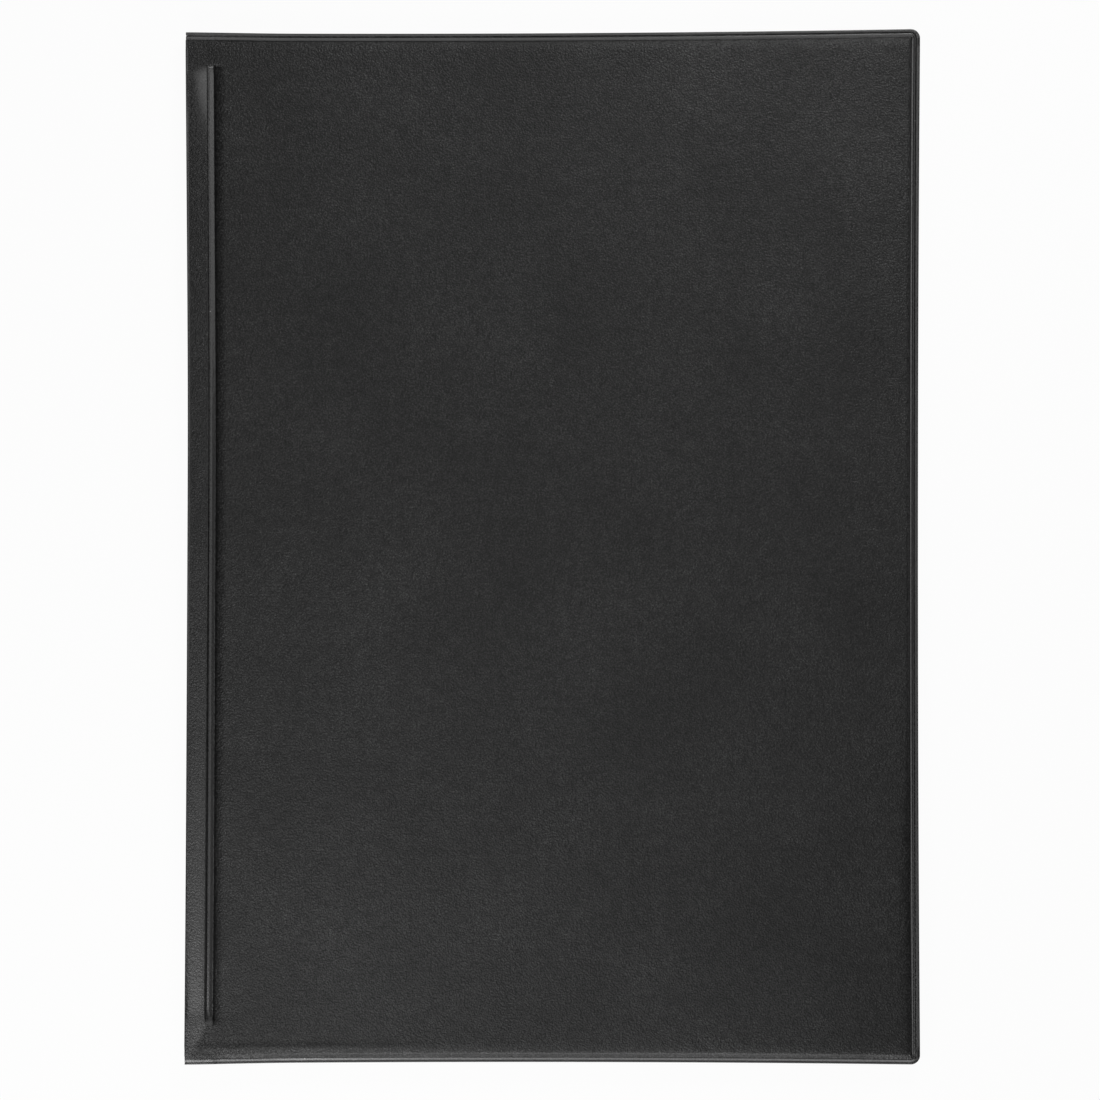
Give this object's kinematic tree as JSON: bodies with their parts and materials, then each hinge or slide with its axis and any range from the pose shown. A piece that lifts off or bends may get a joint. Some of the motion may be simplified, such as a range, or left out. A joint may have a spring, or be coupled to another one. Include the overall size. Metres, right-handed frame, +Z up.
{
  "type": "menu cover",
  "caption": "Black heat-sealed vinyl menu cover: stiff front and back panels on a soft folded spine, with a clear pocket inside each panel.",
  "frame": {"origin": "on the table, under the middle of the closed cover", "axes": "+X from the spine to the fore-edge, +Y from the foot to the head, +Z up out of the front cover, with the back cover on the table"},
  "size_m": [0.23, 0.3236, 0.0075],
  "materials": {
    "grained_vinyl": "fine leather grain, semi-matt black",
    "smooth_vinyl": "smooth satin black",
    "greyboard": "raw grey board",
    "clear_film": "clear gloss film"
  },
  "bodies": {
    "back_cover": {"back_skin": "grained_vinyl", "back_board": "greyboard", "back_lining": "smooth_vinyl", "back_pocket": "clear_film"},
    "spine": {"spine_skin": "grained_vinyl", "spine_lining": "smooth_vinyl"},
    "front_cover": {"front_skin": "grained_vinyl", "front_board": "greyboard", "front_lining": "smooth_vinyl", "front_pocket": "clear_film"}
  },
  "joints": [
    {"name": "back_fold", "type": "hinge", "parent": "back_cover", "child": "spine", "pos_m": [-0.11433, 0, 0.00067], "axis": [0, -1, 0], "range_deg": [0, 90]},
    {"name": "front_fold", "type": "hinge", "parent": "spine", "child": "front_cover", "pos_m": [-0.11433, 0, 0.00683], "axis": [0, -1, 0], "range_deg": [0, 90]}
  ]
}
